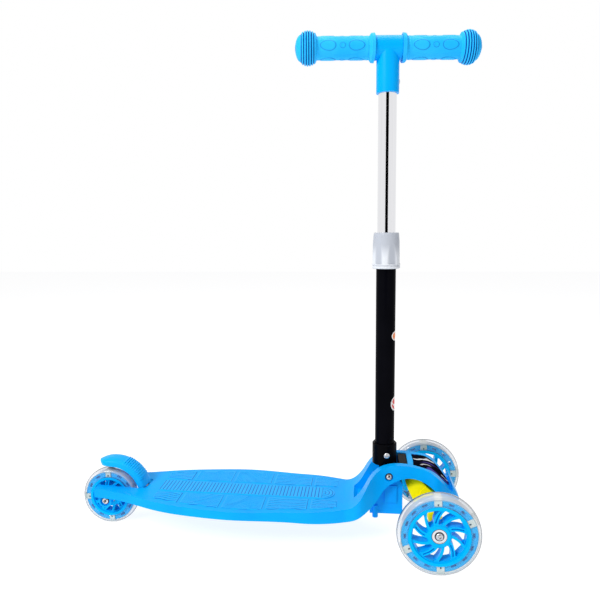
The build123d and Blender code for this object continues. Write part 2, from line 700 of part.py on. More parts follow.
with BuildPart() as steering_bush:
    with BuildSketch(along_kingpin(TRUCK_TOP + 0.3)):
        Circle(16)
        Circle(KINGPIN_R, mode=Mode.SUBTRACT)
    extrude(amount=BUSH_THICK - 0.3)
    fillet(steering_bush.edges().filter_by(GeomType.CIRCLE).group_by(SortBy.RADIUS)[-1], 1.2)
save(steering_bush, "steering_bush")

with BuildPart() as kingpin:
    with BuildSketch(along_kingpin(34)):
        RegularPolygon(7.2, 6)
    extrude(amount=4.0)
    with BuildSketch(along_kingpin(TRUCK_UNDER - 9)):
        Circle(KINGPIN_R)
    extrude(amount=34 - TRUCK_UNDER + 9)
save(kingpin, "kingpin")

with BuildPart() as kingpin_nut:
    with BuildSketch(along_kingpin(TRUCK_UNDER - 2.4)):
        Circle(8)
        Circle(KINGPIN_R, mode=Mode.SUBTRACT)
    extrude(amount=2)
    with BuildSketch(along_kingpin(TRUCK_UNDER - 7.4)):
        RegularPolygon(7.0, 6)
        Circle(KINGPIN_R, mode=Mode.SUBTRACT)
    extrude(amount=5)
save(kingpin_nut, "kingpin_nut")

AXLE_END = HALF_TRACK + BEARING_FACE + 0.3
with BuildPart() as front_axle:
    with BuildSketch(across(FRONT_AXLE_X, 0, FRONT_WHEEL_R)):
        Circle(AXLE_R)
    extrude(amount=AXLE_END, both=True)
    for side in (-1, 1):
        with BuildSketch(across(FRONT_AXLE_X, side * AXLE_END, FRONT_WHEEL_R)):
            Circle(2.5)
        extrude(amount=side * 12, mode=Mode.SUBTRACT)
save(front_axle, "front_axle")

with BuildPart() as axle_bolts:
    for side in (-1, 1):
        with BuildSketch(across(FRONT_AXLE_X, side * AXLE_END, FRONT_WHEEL_R)):
            Circle(2.5)
        extrude(amount=side * 11.5)
        with BuildSketch(across(FRONT_AXLE_X, side * AXLE_END, FRONT_WHEEL_R)):
            Circle(5.6)
        extrude(amount=-side * 2.8, taper=12)
        with BuildSketch(across(FRONT_AXLE_X, side * (AXLE_END + 2.8), FRONT_WHEEL_R)):
            RegularPolygon(2.4, 6)
        extrude(amount=side * 1.8, mode=Mode.SUBTRACT)
save(axle_bolts, "axle_bolts")


def spacers(label, x, z, start, end):
    """Two plain steel sleeves on an axle, one each side."""
    with BuildPart() as piece:
        for side in (-1, 1):
            with BuildSketch(across(x, side * start, z)):
                Circle(6)
                Circle(AXLE_R, mode=Mode.SUBTRACT)
            extrude(amount=-side * (end - start))
    save(piece, label)


spacers("front_spacers", FRONT_AXLE_X, FRONT_WHEEL_R, TRUCK_ARM_END, HALF_TRACK - BEARING_FACE - 0.3)
spacers("rear_spacers", REAR_AXLE_X, REAR_WHEEL_R, BEARING_FACE + 0.3, SLOT_HALF)

# ------------------------------------------------------------------ rear axle
with BuildPart() as rear_axle_bolt:
    with BuildSketch(across(REAR_AXLE_X, -27.1, REAR_WHEEL_R)):
        Circle(6.2)
    extrude(amount=3.4, taper=12)
    with BuildSketch(across(REAR_AXLE_X, -27.1, REAR_WHEEL_R)):
        Circle(AXLE_R)
    extrude(amount=-58)
    with BuildSketch(across(REAR_AXLE_X, -30.5, REAR_WHEEL_R)):
        RegularPolygon(2.6, 6)
    extrude(amount=-2, mode=Mode.SUBTRACT)
save(rear_axle_bolt, "rear_axle_bolt")

with BuildPart() as rear_axle_nut:
    with BuildSketch(across(REAR_AXLE_X, 27.1, REAR_WHEEL_R)):
        RegularPolygon(7.0, 6)
        Circle(AXLE_R, mode=Mode.SUBTRACT)
    extrude(amount=-4.5)
save(rear_axle_nut, "rear_axle_nut")

# ------------------------------------------------------------------ brake
# Curved fender with turned-down sides that the heel presses on to the rear tyre.
LIP_R = 49.0
FENDER_WALL = 3.4
FENDER_SWEEP = 97.7
FENDER_ROOT = Vector(1, 0, 0).rotate(Axis((0, 0, 0), (0, -1, 0)), 15.2)
FENDER_TIP = FENDER_ROOT.rotate(Axis((0, 0, 0), (0, -1, 0)), FENDER_SWEEP)

with BuildPart() as brake_fender:
    with BuildSketch(Plane(origin=(FENDER_X, 0, FENDER_Z), x_dir=FENDER_ROOT,
                           z_dir=(-FENDER_ROOT.Z, 0, FENDER_ROOT.X))):
        with BuildLine():
            Polyline((LIP_R, FENDER_HALF), (FENDER_R - 4, FENDER_HALF))
            ThreePointArc((FENDER_R - 4, FENDER_HALF), (FENDER_R, 0), (FENDER_R - 4, -FENDER_HALF))
            Polyline((FENDER_R - 4, -FENDER_HALF), (LIP_R, -FENDER_HALF),
                     (LIP_R, -FENDER_HALF + FENDER_WALL), (FENDER_R - 7.5, -FENDER_HALF + FENDER_WALL),
                     (FENDER_R - 7.5, FENDER_HALF - FENDER_WALL), (LIP_R, FENDER_HALF - FENDER_WALL),
                     (LIP_R, FENDER_HALF))
        make_face()
    revolve(axis=Axis((FENDER_X, 0, FENDER_Z), (0, -1, 0)), revolution_arc=FENDER_SWEEP)
    # Rounded tip
    with BuildSketch(Plane(origin=(FENDER_X, 0, FENDER_Z), z_dir=FENDER_TIP,
                           x_dir=(-FENDER_TIP.Z, 0, FENDER_TIP.X))):
        with Locations((-2.5, 0)):
            Rectangle(29, 50)
        with Locations((-FENDER_HALF, 0)):
            Circle(FENDER_HALF, mode=Mode.SUBTRACT)
    extrude(amount=80, mode=Mode.SUBTRACT)
    # Knuckle on the brake pin, with the web that joins it to the shell
    with BuildSketch(across(BRAKE_PIN_X, 0, BRAKE_PIN_Z)):
        Circle(6)
        with BuildLine():
            Polyline((-6, 0), (6, 0), (6, 8), (4, 15), (-4, 15), close=True)
        make_face()
    extrude(amount=FENDER_HALF, both=True)
    with BuildSketch(across(BRAKE_PIN_X, 0, BRAKE_PIN_Z)):
        Circle(7.5)
    extrude(amount=6, both=True, mode=Mode.SUBTRACT)
    with BuildSketch(across(BRAKE_PIN_X, 0, BRAKE_PIN_Z)):
        Circle(BRAKE_PIN_R + RUN_FIT)
    extrude(amount=30, both=True, mode=Mode.SUBTRACT)
save(brake_fender, "brake_fender")

with BuildPart() as brake_pin:
    with BuildSketch(across(BRAKE_PIN_X, 0, BRAKE_PIN_Z)):
        Circle(BRAKE_PIN_R)
    extrude(amount=SLOT_HALF + 6.8, both=True)
save(brake_pin, "brake_pin")

# Torsion spring wound round the pin; one leg lies on the floor of its notch
with BuildPart() as brake_spring:
    with BuildSketch(Plane(origin=(BRAKE_PIN_X, 0, BRAKE_PIN_Z), x_dir=(0, 0, 1), z_dir=(1, 0, 0))):
        with Locations([(3.5, -4.5 + 1.5 * turn) for turn in range(7)]):
            Circle(0.8)
    revolve(axis=Axis((BRAKE_PIN_X, 0, BRAKE_PIN_Z), (0, 1, 0)))
save(brake_spring, "brake_spring")

# Friction pad under the fender, over the tyre
with BuildPart() as brake_pad:
    with BuildSketch(Plane.XZ):
        with Locations((REAR_AXLE_X, REAR_WHEEL_R)):
            Circle(64)
            Circle(REAR_WHEEL_R + 8.0, mode=Mode.SUBTRACT)
        with Locations((REAR_AXLE_X + 6, REAR_WHEEL_R + 60)):
            Rectangle(26, 40, mode=Mode.INTERSECT)
        with Locations((FENDER_X, FENDER_Z)):
            Circle(FENDER_R - 7.5, mode=Mode.INTERSECT)
    extrude(amount=9, both=True)
save(brake_pad, "brake_pad")
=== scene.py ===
"""Child's three-wheeled kick scooter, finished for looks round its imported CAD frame. Metres throughout."""

import json
from math import cos, pi, radians, sin

import bmesh
import bpy
import numpy as np
from mathutils import Matrix, Vector
from mathutils.bvhtree import BVHTree

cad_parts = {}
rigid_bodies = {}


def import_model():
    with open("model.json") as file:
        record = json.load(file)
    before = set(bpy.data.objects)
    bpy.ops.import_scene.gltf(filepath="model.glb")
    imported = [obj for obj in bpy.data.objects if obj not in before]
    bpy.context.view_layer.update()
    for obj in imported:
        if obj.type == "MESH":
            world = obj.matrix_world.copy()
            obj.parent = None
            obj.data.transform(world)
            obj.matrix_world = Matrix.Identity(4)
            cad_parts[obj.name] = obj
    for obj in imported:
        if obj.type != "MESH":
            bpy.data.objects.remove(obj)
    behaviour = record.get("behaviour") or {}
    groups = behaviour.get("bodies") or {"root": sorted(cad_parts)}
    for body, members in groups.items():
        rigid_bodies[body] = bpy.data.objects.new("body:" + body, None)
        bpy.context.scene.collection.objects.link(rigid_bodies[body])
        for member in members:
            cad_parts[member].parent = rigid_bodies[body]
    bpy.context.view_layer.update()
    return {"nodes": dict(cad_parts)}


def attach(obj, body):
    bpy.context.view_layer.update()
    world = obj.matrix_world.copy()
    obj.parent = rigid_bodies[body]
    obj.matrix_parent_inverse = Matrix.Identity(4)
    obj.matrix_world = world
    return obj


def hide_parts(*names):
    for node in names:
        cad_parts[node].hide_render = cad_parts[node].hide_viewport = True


for left_over in list(bpy.data.objects):
    bpy.data.objects.remove(left_over)
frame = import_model()
MM = 0.001
STEM = 0.1855
FRONT_AXLE = (0.2595, 0, 0.06)
REAR_AXLE = (-0.272, 0, 0.0475)
MOULD_GRAIN = 900.0

# ---------------------------------------------------------------- shared tools
# Wiring of materials, kinds of finish, and pieces made from CAD nodes or from grids of points.
class Wire:
    """An output socket of one material: arithmetic adds Math nodes, and node() adds any other node."""

    def __init__(self, material, socket=None):
        self.material = material
        self.socket = socket

    def node(self, kind, settings=None, out=0, **inputs):
        """Add a node of this kind; its settings come first, then values or wires for its sockets."""
        tree = self.material.node_tree
        made = tree.nodes.new("ShaderNode" + kind)
        for key, value in (settings or {}).items():
            setattr(made, key, value)
        for key, value in inputs.items():
            socket = made.inputs[int(key[1:])] if key[1:].isdigit() else made.inputs[key.replace("_", " ")]
            if isinstance(value, Wire):
                tree.links.new(value.socket, socket)
            else:
                socket.default_value = value
        return Wire(self.material, made.outputs[out])

    def math(self, operation, b=0.0, c=0.0):
        """A Math node on this value, and on b and c where the operation takes more than one."""
        return self.node("Math", {"operation": operation}, i0=self, i1=b, i2=c)

    def __add__(self, other):
        return self.math("ADD", other)

    def __radd__(self, other):
        return self.math("ADD", other)

    def __sub__(self, other):
        return self.math("SUBTRACT", other)

    def __rsub__(self, other):
        return self.node("Math", {"operation": "SUBTRACT"}, i0=other, i1=self)

    def __mul__(self, other):
        return self.math("MULTIPLY", other)

    def __rmul__(self, other):
        return self.math("MULTIPLY", other)

    def __truediv__(self, other):
        return self.math("DIVIDE", other)

    def ramp(self, low, high):
        """0 below low, 1 above high, and smooth between."""
        return self.node("MapRange", {"interpolation_type": "SMOOTHSTEP"}, Value=self, From_Min=low,
                         From_Max=high)

    def between(self, first, second):
        """A colour that goes from first to second as this value goes from 0 to 1."""
        return self.node("Mix", {"data_type": "RGBA"}, out=2, i0=self, i6=first, i7=second)

    def noise(self, scale, detail=2.0):
        """Cloudy pattern on this wire's coordinates, between about 0.3 and 0.7."""
        return self.node("TexNoise", Vector=self, Scale=scale, Detail=detail)

    def axis(self, name):
        """One coordinate of this wire's vector."""
        return self.node("SeparateXYZ", out=name, i0=self)


def start_material(name):
    """The wire of a new material's piece coordinates, in metres."""
    made = bpy.data.materials.new(name)
    made.use_nodes = True
    return Wire(made).node("TexCoord", out="Object")


def finish_material(place, height=None, depth=0.0, **sockets):
    """Set the shader's sockets; height and depth in metres drive its bump."""
    shader = place.material.node_tree.nodes["Principled BSDF"]
    if height is not None:
        sockets["Normal"] = place.node("Bump", Strength=1.0, Distance=depth, Height=height)
    for key, value in sockets.items():
        socket = shader.inputs[key.replace("_", " ")]
        if isinstance(value, Wire):
            place.material.node_tree.links.new(value.socket, socket)
        else:
            socket.default_value = value
    return place.material


def plastic(name, colour, deep, rough=0.3, grain=0.02, specular=0.08):
    """Moulded plastic: slightly uneven colour and gloss, and a mould grain that is grain millimetres deep."""
    place = start_material(name)
    cloud = place.noise(14.0, 3.0).ramp(0.35, 0.65)
    speckle = place.noise(MOULD_GRAIN, 2.0)
    return finish_material(place, height=speckle, depth=grain * MM, Specular_IOR_Level=specular,
                           Base_Color=(cloud * 0.8 + speckle * 0.2).between(deep, colour),
                           Roughness=rough - 0.05 + 0.06 * cloud + 0.08 * speckle)


def bright_steel(name, colour=(0.60, 0.61, 0.63, 1), rough=0.2):
    """Zinc-plated steel: fine turning marks in the gloss and a faint cloud in the colour."""
    place = start_material(name)
    cloud = place.noise(70.0, 2.0).ramp(0.35, 0.65)
    marks = place.noise(1500.0, 2.0)
    return finish_material(place, height=marks, depth=0.008 * MM, Metallic=1.0,
                           Base_Color=cloud.between(tuple(0.88 * c for c in colour[:3]) + (1,), colour),
                           Roughness=rough + 0.08 * marks + 0.06 * cloud)


def radius_from(first, second):
    """Distance from an axis, in millimetres, of two wires that are square to it, in metres."""
    return (first * first + second * second).math("SQRT") * 1000.0


def ringed_steel(name, centre, low, high):
    """Turned steel about an axis along Y: bright between two radii in millimetres, with painted shade inside
    and outside those radii.
    """
    place = start_material(name)
    r = radius_from(place.axis("X") - centre[0], place.axis("Z") - centre[2])
    marks = (r * 9.0).math("SINE")
    # Painted shade: dark and not metallic inside the low radius and outside the high radius
    painted_shade = (r - high).ramp(-0.15, 0.15).math("MAXIMUM", (low - r).ramp(-0.15, 0.15))
    metal = (0.5 + 0.5 * marks).between((0.62, 0.62, 0.64, 1), (0.80, 0.80, 0.82, 1))
    return finish_material(place, Base_Color=painted_shade.between(metal, (0.02, 0.02, 0.025, 1)),
                           Metallic=1.0 - painted_shade, Roughness=0.24 + 0.2 * painted_shade)


def soft_rubber(name, colour, deep):
    """Soft moulded rubber: matt, with fine dust-like speckle and a faint sheen."""
    place = start_material(name)
    cloud = place.noise(22.0, 3.0).ramp(0.35, 0.65)
    speckle = place.noise(1200.0, 3.0)
    return finish_material(place, height=speckle, depth=0.02 * MM, Base_Color=cloud.between(deep, colour),
                           Roughness=0.44 + 0.1 * speckle, Specular_IOR_Level=0.4, Sheen_Weight=0.15)


def mesh_of(name, points, faces):
    """Smooth-shaded mesh with its faces turned outward."""
    mesh = bpy.data.meshes.new(name)
    mesh.from_pydata(points.tolist(), [], faces)
    mesh.shade_smooth()
    shape = bmesh.new()
    shape.from_mesh(mesh)
    bmesh.ops.recalc_face_normals(shape, faces=shape.faces)
    shape.to_mesh(mesh)
    shape.free()
    return mesh


def skin(grid):
    """Closed mesh of a grid of points that joins round along its second axis, with both ends capped."""
    rows, columns = grid.shape[:2]
    index = np.arange(rows * columns).reshape(rows, columns)
    after = np.roll(index, -1, 1)
    faces = np.stack([index[:-1], after[:-1], after[1:], index[1:]], -1).reshape(-1, 4).tolist()
    faces.append(index[0, ::-1].tolist())
    faces.append(index[-1].tolist())
    return mesh_of("skin", grid.reshape(-1, 3), faces)


def ring_skin(grid):
    """Closed mesh of a grid that joins round along both of its axes."""
    rows, columns = grid.shape[:2]
    index = np.arange(rows * columns).reshape(rows, columns)
    after = np.roll(index, -1, 1)
    faces = np.stack([index, after, np.roll(after, -1, 0), np.roll(index, -1, 0)], -1).reshape(-1, 4)
    return mesh_of("ring", grid.reshape(-1, 3), faces.tolist())


def join(name, meshes):
    """One mesh made of several."""
    shape = bmesh.new()
    for part in meshes:
        shape.from_mesh(part)
    mesh = bpy.data.meshes.new(name)
    shape.to_mesh(mesh)
    shape.free()
    mesh.shade_smooth()
    return mesh


def sharpen(mesh, angle=35):
    """Keep creases crisp where faces meet at more than this angle."""
    mesh.set_sharp_from_angle(angle=radians(angle))
    return mesh


def step(value, edge, width):
    """Smooth step from 0 to 1 over width, centred on edge."""
    t = np.clip((value - edge) / width + 0.5, 0, 1)
    return t * t * (3 - 2 * t)


def screw_head(centre, way, radius, rise, drive, reach):
    """Grid of points of a button head and its shank: a dome of height rise, less the socket for the key.

    It is turned about a line through centre that points way. Its rings go from the crown's middle out over
    the dome, and back under it to a shank of length reach. drive is "cross" for four slots and "hex" for a
    six-sided hole.
    """
    ring = np.concatenate([np.linspace(0.02, 0.62, 26), np.linspace(0.66, 1, 12)]) * radius
    angle = np.linspace(0, 2 * pi, 96, endpoint=False)
    r, a = np.meshgrid(ring, angle, indexing="ij")
    h = rise * np.sqrt(np.maximum(0, 1 - (r / radius) ** 2.6))
    if drive == "hex":
        flat = r * np.cos((a + pi / 6) % (pi / 3) - pi / 6)
        hole = 1 - step(flat, 0.42 * radius, 0.05 * radius)
    else:
        arm = np.minimum(np.abs(r * np.sin(a + 0.5)), np.abs(r * np.cos(a + 0.5)))
        hole = (1 - step(arm, 0.13 * radius, 0.08 * radius)) * (1 - step(r, 0.55 * radius, 0.12 * radius))
    h = h - 0.75 * rise * hole
    shank = 0.5 * radius
    for ring_r, ring_h in ((radius, -0.15 * rise), (shank, -0.15 * rise), (shank, -reach)):
        r = np.vstack([r, np.full((1, angle.size), ring_r)])
        h = np.vstack([h, np.full((1, angle.size), ring_h)])
        a = np.vstack([a, angle[None, :]])
    along = Vector(way).normalized()
    side = along.orthogonal().normalized()
    other = along.cross(side)
    return (np.array(centre)[None, None, :] + h[..., None] * np.array(along)
            + (r * np.cos(a))[..., None] * np.array(side) + (r * np.sin(a))[..., None] * np.array(other))


def add_piece(name, mesh, material, body, slot, *stands_for):
    """Link one finished mesh as a piece that rides on a body."""
    piece = bpy.data.objects.new(name, mesh)
    bpy.context.scene.collection.objects.link(piece)
    mesh.materials.clear()
    mesh.materials.append(material)
    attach(piece, body)
    if stands_for:
        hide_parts(*stands_for)
    return piece


def soften(node, material, body, slot, edge, angle=32, rows=3):
    """A copy of a CAD node with its doubles merged, its flats joined and its sharp edges rounded.

    Edges sharper than angle, in degrees, get a rounding of edge metres in rows of faces.
    """
    mesh = frame["nodes"][node].data.copy()
    shape = bmesh.new()
    shape.from_mesh(mesh)
    bmesh.ops.remove_doubles(shape, verts=shape.verts, dist=1e-5)
    bmesh.ops.dissolve_limit(shape, angle_limit=radians(0.4), verts=shape.verts, edges=shape.edges)
    shape.to_mesh(mesh)
    shape.free()
    mesh.shade_smooth()
    piece = add_piece(node + "_moulded", mesh, material, body, slot, node)
    rounding = piece.modifiers.new("rounding", "BEVEL")
    rounding.width = edge
    rounding.segments = rows
    rounding.limit_method = "ANGLE"
    rounding.angle_limit = radians(angle)
    rounding.use_clamp_overlap = True
    shading = piece.modifiers.new("shading", "WEIGHTED_NORMAL")
    shading.keep_sharp = True
    return piece


def wear(material, *nodes):
    """Give CAD nodes that stay as they are a finished material."""
    for node in nodes:
        for held in frame["nodes"][node].material_slots:
            held.material = material


# ---------------------------------------------------------------- deck board
# One injection moulding of blue polypropylene: board, arch, nose and rear fork. Its edges are rounded
# where the two halves of the mould meet, and the skin has the fine grain of a spark-eroded tool.
DECK_BLUE = (0.0, 0.42, 0.98, 1)
DECK_BLUE_DEEP = (0.0, 0.37, 0.95, 1)
DECK_EDGE_R = 3.0 * MM
deck_blue = plastic("deck_blue", DECK_BLUE, DECK_BLUE_DEEP, rough=0.34)
soften("deck_board", deck_blue, "deck", "blue_plastic", DECK_EDGE_R)

# ---------------------------------------------------------------- tread
# Raised grip pattern moulded into the top of the board: a middle strip of cross bars that ends in round
# arcs, and two side rows of planks with a grain like wood.
PLANK_PITCH = 68.6 * MM
PLANK_START_X = -138 * MM
PLANK_GAP_HALF = 2.6 * MM
TREAD_START_X = -184 * MM
TREAD_END_X = 112 * MM
STRIP_HALF = 21.0 * MM
ROW_INNER_Y = 24.5 * MM
EDGE_MARGIN = 10.5 * MM
BAR_PITCH = 5.7 * MM
TREAD_RISE = 1.0 * MM
TREAD_SUNK = 0.5 * MM


def lines_of_deck():
    """Top height and half width of the board, found by rays on its CAD solid at even stations."""
    mesh = frame["nodes"]["deck_board"].data
    board = BVHTree.FromPolygons([v.co for v in mesh.vertices], [p.vertices for p in mesh.polygons])
    stations = np.linspace(TREAD_START_X - 0.01, TREAD_END_X, 80)
    tops = [board.ray_cast(Vector((x, 0.03, 0.3)), Vector((0, 0, -1)))[0].z for x in stations]
    sides = [board.ray_cast(Vector((x, 0.3, z - 0.004)), Vector((0, -1, 0)))[0].y
             for x, z in zip(stations, tops)]
    return stations, np.array(tops), np.array(sides)


stations, tops, sides = lines_of_deck()


def plank_height(x, y):
    """Rise of the side rows: planks cut by cross gaps, with wavy grain lines along them."""
    off = (x - PLANK_START_X + PLANK_PITCH / 2) % PLANK_PITCH - PLANK_PITCH / 2
    plank = np.floor((x - PLANK_START_X) / PLANK_PITCH)
    body = step(np.abs(off), PLANK_GAP_HALF, 0.8 * MM)
    fan = (y - ROW_INNER_Y) * (1 + 0.25 * np.sin(1.9 * plank)) + 2.2 * MM * np.sin(x * 46 + 2.4 * plank)
    fan = fan + 1.1 * MM * np.sin(x * 131 + 5.1 * plank + y * 90)
    grain = step(np.abs((fan / (4.6 * MM)) % 1 - 0.5), 0.36, 0.16)
    rim = step(np.abs(off), PLANK_GAP_HALF + 2.0 * MM, 1.0 * MM)
    return body * (1 - 0.75 * grain * rim) - 0.35 * (1 - body)


def bar_height(x, y):
    """Rise of the middle strip: straight cross bars, then arcs round its forward end."""
    turn_x = 86 * MM
    reach = np.where(x < turn_x, x - turn_x, np.hypot(x - turn_x, y) * np.sign(x - turn_x + 1e-9))
    inside = step(STRIP_HALF - np.where(x < turn_x, np.abs(y), reach), 0.6 * MM, 0.8 * MM)
    groove = 1 - step(np.abs((reach / BAR_PITCH + 0.5) % 1 - 0.5), 0.11, 0.1)
    edge = step(STRIP_HALF - np.abs(y), 2.2 * MM, 0.8 * MM)
    return inside * (1 - 0.75 * groove * edge) - 0.35 * (1 - inside)


def closed_slab(x, y, top, sunk):
    """Closed mesh from a grid of tops: a wall round it and a plain floor sunk below its stations."""
    rows, columns = x.shape
    under = np.interp(x[:, 0], stations, tops) - sunk
    corners = [np.stack([x[:, c], y[:, c], under], -1) for c in (0, columns - 1)]
    points = np.concatenate([np.stack([x, y, top], -1).reshape(-1, 3), *corners])
    grid = np.arange(rows * columns).reshape(rows, columns)
    left = rows * columns + np.arange(rows)
    right = left + rows
    quads = [np.stack([grid[:-1, :-1], grid[1:, :-1], grid[1:, 1:], grid[:-1, 1:]], -1).reshape(-1, 4),
             np.stack([grid[:-1, 0], left[:-1], left[1:], grid[1:, 0]], -1),
             np.stack([grid[:-1, -1], grid[1:, -1], right[1:], right[:-1]], -1),
             np.stack([left[:-1], right[:-1], right[1:], left[1:]], -1)]
    faces = np.concatenate(quads).tolist()
    faces.append([*grid[0, :].tolist(), right[0], left[0]])
    faces.append([*grid[-1, ::-1].tolist(), left[-1], right[-1]])
    return mesh_of("slab", points, faces)


def relief_plastic(name, colour, groove_shade_colour):
    """Moulded plastic with painted shade in its grooves, read from the relief kept on the piece's points."""
    place = start_material(name)
    relief = place.node("Attribute", {"attribute_name": "relief"}, out="Fac").ramp(0.2, 0.95)
    speckle = place.noise(MOULD_GRAIN, 2.0)
    return finish_material(place, height=speckle, depth=0.02 * MM, Specular_IOR_Level=0.15,
                           Base_Color=relief.between(groove_shade_colour, colour),
                           Roughness=0.30 + 0.08 * speckle + 0.1 * (1 - relief))


# Deep blue painted shade in the gaps between planks and bars
tread_blue = relief_plastic("tread_blue", (0.0, 0.43, 0.98, 1), (0.0, 0.09, 0.50, 1))


def tread_row(name, height, side, inner, outer, columns):
    """One embossed row between two lines, given as half widths at each station."""
    x_line = np.arange(TREAD_START_X, TREAD_END_X, 0.62 * MM)
    across = np.linspace(0, 1, columns)
    low = inner(x_line)[:, None]
    high = outer(x_line)[:, None]
    y = low + (high - low) * across[None, :]
    x = np.repeat(x_line[:, None], columns, 1)
    rise = height(x, y)
    border = np.minimum(across, 1 - across)[None, :] * (high - low)
    ends = np.minimum(x - x_line[0], x_line[-1] - x)
    fade = step(np.minimum(border, ends), 0.6 * MM, 1.2 * MM)
    top = np.interp(x, stations, tops) + TREAD_RISE * (rise * fade - 0.5 * (1 - fade))
    mesh = closed_slab(x, side * y, top, TREAD_SUNK)
    relief = np.ones(len(mesh.vertices))
    relief[:top.size] = (1 - fade + rise * fade).ravel()
    mesh.attributes.new("relief", "FLOAT", "POINT").data.foreach_set("value", relief)
    return add_piece(name, mesh, tread_blue, "deck", "blue_plastic")


def row_outer(x):
    """Outer line of a side row: the board's outline less a margin, drawn in towards both ends."""
    return np.maximum(np.interp(x, stations, sides) - EDGE_MARGIN, ROW_INNER_Y + 3 * MM)


tread_row("tread_left", plank_height, 1, lambda x: np.full_like(x, ROW_INNER_Y), row_outer, 62)
tread_row("tread_right", plank_height, -1, lambda x: np.full_like(x, ROW_INNER_Y), row_outer, 62)
tread_row("tread_middle", bar_height, 1, lambda x: np.full_like(x, -STRIP_HALF),
          lambda x: np.full_like(x, STRIP_HALF), 56)

# ---------------------------------------------------------------- nose panel
# Black film-covered trim set flush in the top of the nose, printed with plain silver and violet streaks.
LINES_END_X = 0.200
STREAKS_START_X = 0.196


def streak_film():
    """Black gloss film: thin curved lines in its rear part, and stretched silver and violet streaks ahead."""
    place = start_material("streak_film")
    x, y = place.axis("X"), place.axis("Y")
    bend = place.noise(16.0, 2.0)
    thin = (x * 150.0 + y * 190.0 + bend * 9.0).math("PINGPONG", 1.0)
    line = (1 - thin.ramp(0.06, 0.24)) * (LINES_END_X - x).ramp(-0.012, 0.004)
    flow = (x * 26.0 - y * 60.0 + bend * 5.0).math("PINGPONG", 1.0)
    ahead = (x - STREAKS_START_X).ramp(-0.01, 0.03)
    silver = (1 - flow.ramp(0.06, 0.22)) * ahead * place.noise(40.0, 1.0).ramp(0.36, 0.50)
    violet = flow.ramp(0.62, 0.92) * ahead * place.noise(32.0, 1.0).ramp(0.44, 0.6)
    ground = violet.between((0.004, 0.004, 0.008, 1), (0.09, 0.07, 0.36, 1))
    lined = (line * 0.8).between(ground, (0.36, 0.48, 0.68, 1))
    return finish_material(place, height=place.noise(300.0), depth=0.02 * MM,
                           Base_Color=silver.between(lined, (0.80, 0.80, 0.86, 1)),
                           Roughness=0.3 + 0.1 * silver, Specular_IOR_Level=0.0)


soften("nose_panel", streak_film(), "deck", "black_plastic", 0.25 * MM)

# ---------------------------------------------------------------- fold
# Blue housing between the rails, black press button ahead of the stem, and the pivot's bolt and nut.
housing_blue = plastic("housing_blue", (0.0, 0.36, 0.96, 1), (0.0, 0.32, 0.92, 1), rough=0.36)
button_black = plastic("button_black", (0.003, 0.003, 0.004, 1), (0.002, 0.002, 0.003, 1), specular=0.03)
soften("fold_housing", housing_blue, "deck", "blue_plastic", 0.9 * MM)
soften("fold_button", button_black, "button", "black_plastic", 0.5 * MM)

zinc = bright_steel("zinc_plate")
dark_wire = bright_steel("spring_wire", (0.42, 0.43, 0.45, 1), 0.28)
wear(dark_wire, "button_spring", "brake_spring")

PIVOT = np.array((0.192, 0, 0.109))
PIVOT_HEAD_Y = -31.6 * MM
pivot_bolt = skin(screw_head(PIVOT + (0, PIVOT_HEAD_Y, 0), (0, -1, 0), 5.6 * MM, 2.9 * MM, "hex", 60 * MM))
add_piece("pivot_bolt_turned", sharpen(pivot_bolt), ringed_steel("pivot_steel", PIVOT, 1.5, 3.9),
          "deck", "steel", "pivot_bolt")
soften("pivot_nut", zinc, "deck", "steel", 0.4 * MM)

# ---------------------------------------------------------------- stem socket and outer tube
# Black nylon socket pinned to a powder-coated steel tube by two cross-head screws, and two small stickers.
socket_black = plastic("socket_black", (0.002, 0.002, 0.003, 1), (0.001, 0.001, 0.002, 1), rough=0.25,
                       specular=0.03)
soften("stem_socket", socket_black, "stem", "black_plastic", 0.8 * MM)
SOCKET_SCREWS = np.array((STEM + 3 * MM, 0, 0.137))
SOCKET_HALF = 19 * MM
screws = [skin(screw_head(SOCKET_SCREWS + (0, side * SOCKET_HALF, 0), (0, side, 0), 4.7 * MM, 2.3 * MM,
                          "cross", 8 * MM)) for side in (-1, 1)]
add_piece("socket_screws_turned", sharpen(join("socket_screws", screws)), zinc, "stem", "steel",
          "socket_screws")


def black_coat():
    """Gloss black powder coat with the slightest orange peel."""
    place = start_material("black_coat")
    peel = place.noise(420.0, 1.0)
    cloud = place.noise(30.0)
    return finish_material(place, height=peel, depth=0.004 * MM,
                           Base_Color=cloud.between((0.001, 0.001, 0.002, 1), (0.003, 0.003, 0.005, 1)),
                           Roughness=0.10 + 0.04 * peel, Specular_IOR_Level=0.015)


wear(black_coat(), "outer_tube")

STICKER_OUT_R = 15.32 * MM
STICKER_IN_R = 15.12 * MM
TUBE_R = 15.2 * MM


def sticker(name, z, half_height, half_angle, colour, facing):
    """Film label wrapped on the tube: an oval with a white rim and a coloured middle."""
    ring = np.linspace(0.02, 1, 22)
    angle = np.linspace(0, 2 * pi, 72, endpoint=False)
    share, a = np.meshgrid(ring, angle, indexing="ij")
    turn = facing + half_angle * share * np.cos(a)
    rise = z + half_height * share * np.sin(a)
    layers = []
    for radius, order in ((STICKER_OUT_R, slice(None)), (STICKER_IN_R, slice(None, None, -1))):
        layer = np.stack([STEM + radius * np.cos(turn), radius * np.sin(turn), rise], -1)
        layers.append(layer[order])
    place = start_material(name + "_film")
    x = place.axis("X") - (STEM + TUBE_R * cos(facing))
    y = place.axis("Y") - TUBE_R * sin(facing)
    wide = 2 * TUBE_R * sin(half_angle / 2)
    flat = (x * x + y * y) / (wide * wide)
    tall = (place.axis("Z") - z) / half_height
    inside = (flat + tall * tall).ramp(0.62, 0.70)
    curl = place.noise(160.0, 1.0).ramp(0.56, 0.6)
    middle = curl.between(colour, (0.85, 0.85, 0.83, 1))
    film = finish_material(place, height=place.noise(500.0), depth=0.003 * MM, Roughness=0.25 + 0.1 * inside,
                           Base_Color=inside.between(middle, (0.86, 0.86, 0.84, 1)))
    add_piece(name, skin(np.concatenate(layers)), film, "stem", "black_paint")


